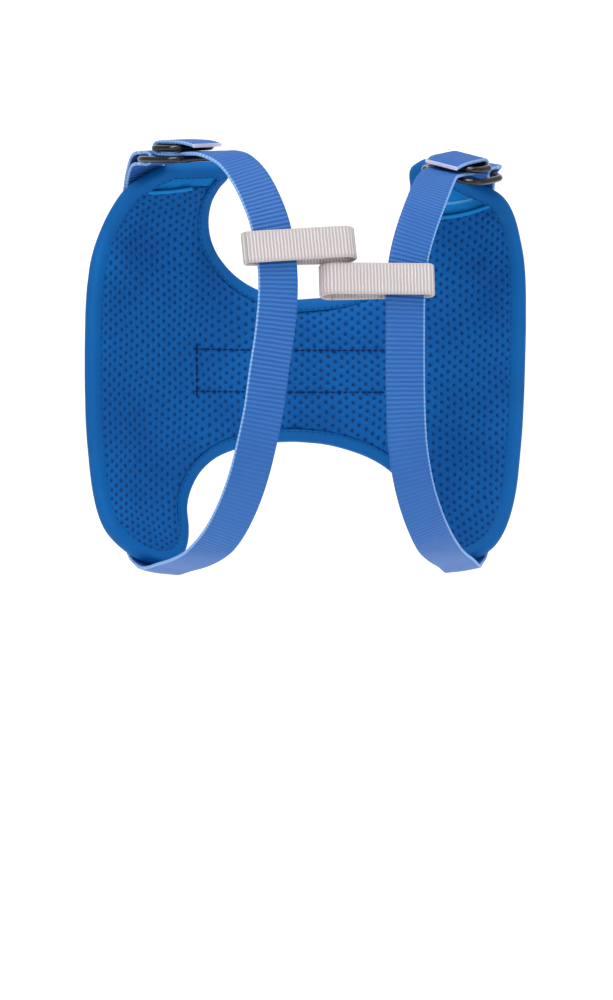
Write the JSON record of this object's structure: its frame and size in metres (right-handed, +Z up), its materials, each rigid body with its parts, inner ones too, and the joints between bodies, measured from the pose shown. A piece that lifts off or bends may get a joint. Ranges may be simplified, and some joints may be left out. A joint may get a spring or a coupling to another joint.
{
  "type": "climbing chest harness",
  "caption": "Padded butterfly back panel with webbing shoulder straps, double-back frame buckles and webbing tie-in loops, in its worn shape.",
  "frame": {"origin": "on the axis of the wearer's torso at the level of the shoulders, inside the harness", "axes": "+Z up along the torso; the wearer faces -Y; the wearer's right is -X"},
  "size_m": [0.1895, 0.1257, 0.1857],
  "materials": {
    "shell_fabric": "woven shell over foam",
    "lining_mesh": "perforated mesh",
    "binding_fabric": "smooth folded tape",
    "blue_webbing": "ribbed webbing",
    "loop_webbing": "ribbed webbing",
    "buckle_metal": "gloss black coating"
  },
  "bodies": {
    "root": {"back_pad": "shell_fabric", "mesh_lining": "lining_mesh", "edge_binding": "binding_fabric", "right_strap": "blue_webbing", "left_strap": "blue_webbing", "right_buckle_tab": "blue_webbing", "left_buckle_tab": "blue_webbing", "right_buckle_base": "buckle_metal", "left_buckle_base": "buckle_metal", "right_buckle_slider": "buckle_metal", "left_buckle_slider": "buckle_metal", "right_tie_in_loop": "loop_webbing", "left_tie_in_loop": "loop_webbing"}
  },
  "joints": []
}
